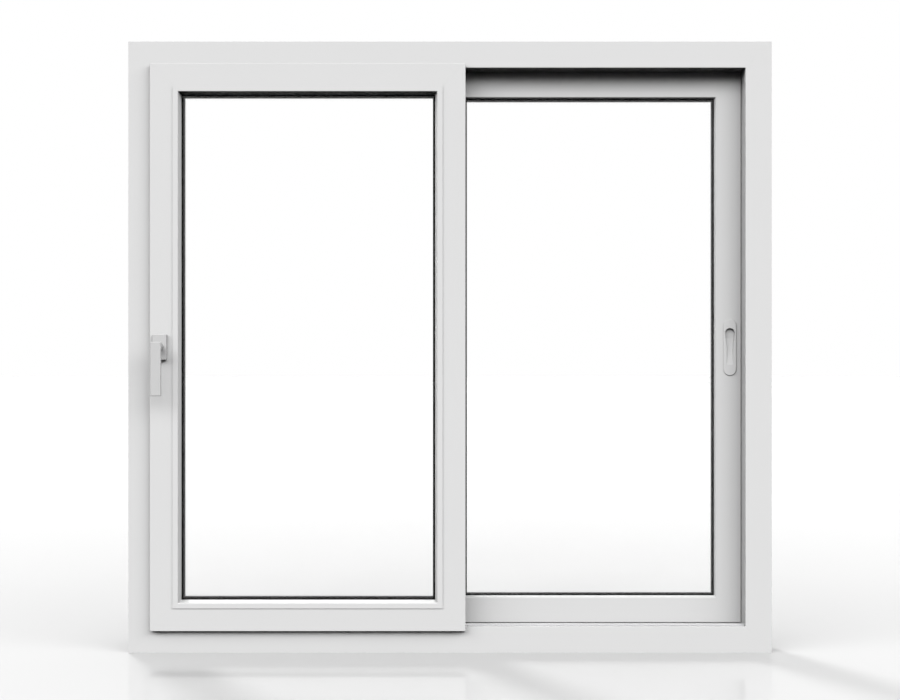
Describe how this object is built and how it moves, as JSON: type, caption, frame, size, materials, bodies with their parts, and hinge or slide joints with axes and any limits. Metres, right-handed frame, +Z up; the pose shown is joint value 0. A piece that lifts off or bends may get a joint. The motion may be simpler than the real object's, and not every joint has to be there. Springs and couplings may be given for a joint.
{
  "type": "sliding window",
  "caption": "White PVC horizontal sliding window: a room-side sash with a lever handle and an outside sash with a recessed pull, on parallel tracks in one frame.",
  "frame": {"origin": "middle of the underside of the sill", "axes": "+X to the right seen from the room, +Y from the room to the outside, +Z up"},
  "size_m": [1.5, 0.19, 1.425],
  "materials": {
    "white_pvc": "satin gloss",
    "white_cap": "matt",
    "white_handle": "powder coated",
    "white_pull": "satin",
    "black_gasket": "matt",
    "black_spacer": "matt",
    "clear_glass": "polished",
    "zinc_steel": "galvanised",
    "screw_steel": "zinc plated",
    "aluminium": "anodised",
    "nylon": "matt"
  },
  "bodies": {
    "frame": {"frame_sill": "white_pvc", "frame_head": "white_pvc", "frame_jamb_left": "white_pvc", "frame_jamb_right": "white_pvc", "frame_reinforcements": "zinc_steel", "track_rails": "aluminium", "slot_stops": "black_gasket", "drain_caps": "white_cap", "lock_keeps": "zinc_steel"},
    "inner_sash": {"inner_sash_bottom_rail": "white_pvc", "inner_sash_top_rail": "white_pvc", "inner_sash_lock_stile": "white_pvc", "inner_sash_meeting_stile": "white_pvc", "inner_beads_level": "white_pvc", "inner_beads_upright": "white_pvc", "inner_reinforcements": "zinc_steel", "inner_roller_carriages": "zinc_steel", "inner_pane_room": "clear_glass", "inner_pane_outside": "clear_glass", "inner_spacer": "black_spacer", "inner_bead_gasket": "black_gasket", "inner_leg_gasket": "black_gasket", "inner_lip_seal": "black_gasket", "inner_top_guides": "nylon", "inner_glazing_blocks": "nylon", "inner_interlock": "aluminium", "lock_faceplate": "zinc_steel", "lock_gearbox": "zinc_steel", "handle_base": "zinc_steel", "handle_screws": "screw_steel", "handle_cover": "white_handle"},
    "outer_sash": {"outer_sash_bottom_rail": "white_pvc", "outer_sash_top_rail": "white_pvc", "outer_sash_lock_stile": "white_pvc", "outer_sash_meeting_stile": "white_pvc", "outer_beads_level": "white_pvc", "outer_beads_upright": "white_pvc", "outer_reinforcements": "zinc_steel", "outer_roller_carriages": "zinc_steel", "outer_pane_room": "clear_glass", "outer_pane_outside": "clear_glass", "outer_spacer": "black_spacer", "outer_bead_gasket": "black_gasket", "outer_leg_gasket": "black_gasket", "outer_lip_seal": "black_gasket", "outer_top_guides": "nylon", "outer_glazing_blocks": "nylon", "outer_interlock": "aluminium", "pull_handle": "white_pull"},
    "handle": {"handle_lever": "white_handle", "handle_spindle": "zinc_steel"},
    "lock_rod": {"lock_drive_rod": "zinc_steel", "lock_cams": "zinc_steel"},
    "inner_wheel_left": {"inner_wheel_left": "nylon"},
    "inner_wheel_right": {"inner_wheel_right": "nylon"},
    "outer_wheel_left": {"outer_wheel_left": "nylon"},
    "outer_wheel_right": {"outer_wheel_right": "nylon"}
  },
  "joints": [
    {"name": "inner_sash_slide", "type": "slide", "parent": "frame", "child": "inner_sash", "axis": [1, 0, 0], "range_m": [0, 0.59]},
    {"name": "outer_sash_slide", "type": "slide", "parent": "frame", "child": "outer_sash", "axis": [-1, 0, 0], "range_m": [0, 0.59]},
    {"name": "handle_turn", "type": "hinge", "parent": "inner_sash", "child": "handle", "pos_m": [-0.673, -0.064, 0.7125], "axis": [0, -1, 0], "range_deg": [0, 90]},
    {"name": "lock_rod_slide", "type": "slide", "parent": "inner_sash", "child": "lock_rod", "axis": [0, 0, 1], "range_m": [0, 0.018]},
    {"name": "inner_wheel_left_turn", "type": "hinge", "parent": "inner_sash", "child": "inner_wheel_left", "pos_m": [-0.607, -0.034, 0.0743], "axis": [0, 1, 0], "continuous": true},
    {"name": "inner_wheel_right_turn", "type": "hinge", "parent": "inner_sash", "child": "inner_wheel_right", "pos_m": [-0.054, -0.034, 0.0743], "axis": [0, 1, 0], "continuous": true},
    {"name": "outer_wheel_left_turn", "type": "hinge", "parent": "outer_sash", "child": "outer_wheel_left", "pos_m": [0.054, 0.034, 0.0743], "axis": [0, -1, 0], "continuous": true},
    {"name": "outer_wheel_right_turn", "type": "hinge", "parent": "outer_sash", "child": "outer_wheel_right", "pos_m": [0.607, 0.034, 0.0743], "axis": [0, -1, 0], "continuous": true}
  ],
  "couplings": [
    {"joint": "lock_rod_slide", "follows": "handle_turn", "m_per_rad": 0.011459},
    {"joint": "inner_wheel_left_turn", "follows": "inner_sash_slide", "rad_per_m": 125},
    {"joint": "inner_wheel_right_turn", "follows": "inner_sash_slide", "rad_per_m": 125},
    {"joint": "outer_wheel_left_turn", "follows": "outer_sash_slide", "rad_per_m": 125},
    {"joint": "outer_wheel_right_turn", "follows": "outer_sash_slide", "rad_per_m": 125}
  ]
}
